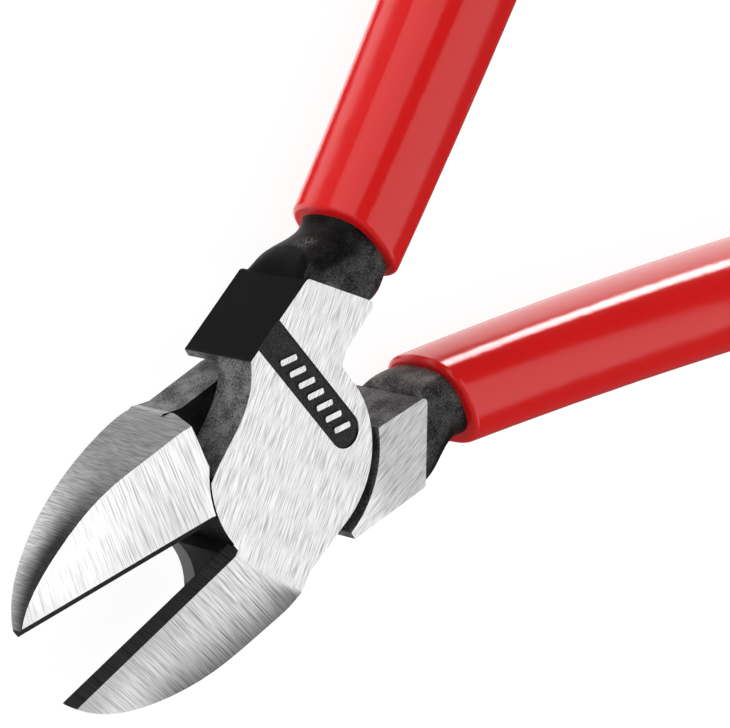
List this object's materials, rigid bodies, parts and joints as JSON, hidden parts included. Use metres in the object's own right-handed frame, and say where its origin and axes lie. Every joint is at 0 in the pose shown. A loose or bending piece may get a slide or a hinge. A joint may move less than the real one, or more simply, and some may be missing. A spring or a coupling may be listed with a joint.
{
  "type": "diagonal cutting pliers",
  "caption": "Compact diagonal cutting pliers with a lap joint, ground steel head and red dipped grips.",
  "frame": {"origin": "where the pivot axis meets the back face of the joint", "axes": "+Z along the pivot axis, out of the front face; +Y from the pivot to the cutting tips; +X to the side of the back half's jaw"},
  "size_m": [0.0842, 0.1355, 0.0139],
  "materials": {
    "forged_steel": "ground and brushed on the joint and jaw faces, black oxide on the neck and the side walls",
    "rivet_steel": "ground flush with the joint faces",
    "dipped_vinyl": "smooth glossy dip"
  },
  "bodies": {
    "front": {"front_half": "forged_steel", "pivot_rivet": "rivet_steel", "front_grip": "dipped_vinyl"},
    "back": {"back_half": "forged_steel", "back_grip": "dipped_vinyl"}
  },
  "joints": [
    {"name": "jaw_pivot", "type": "hinge", "parent": "front", "child": "back", "pos_m": [0, 0, 0.00475], "axis": [0, 0, 1], "range_deg": [-18, 16]}
  ]
}
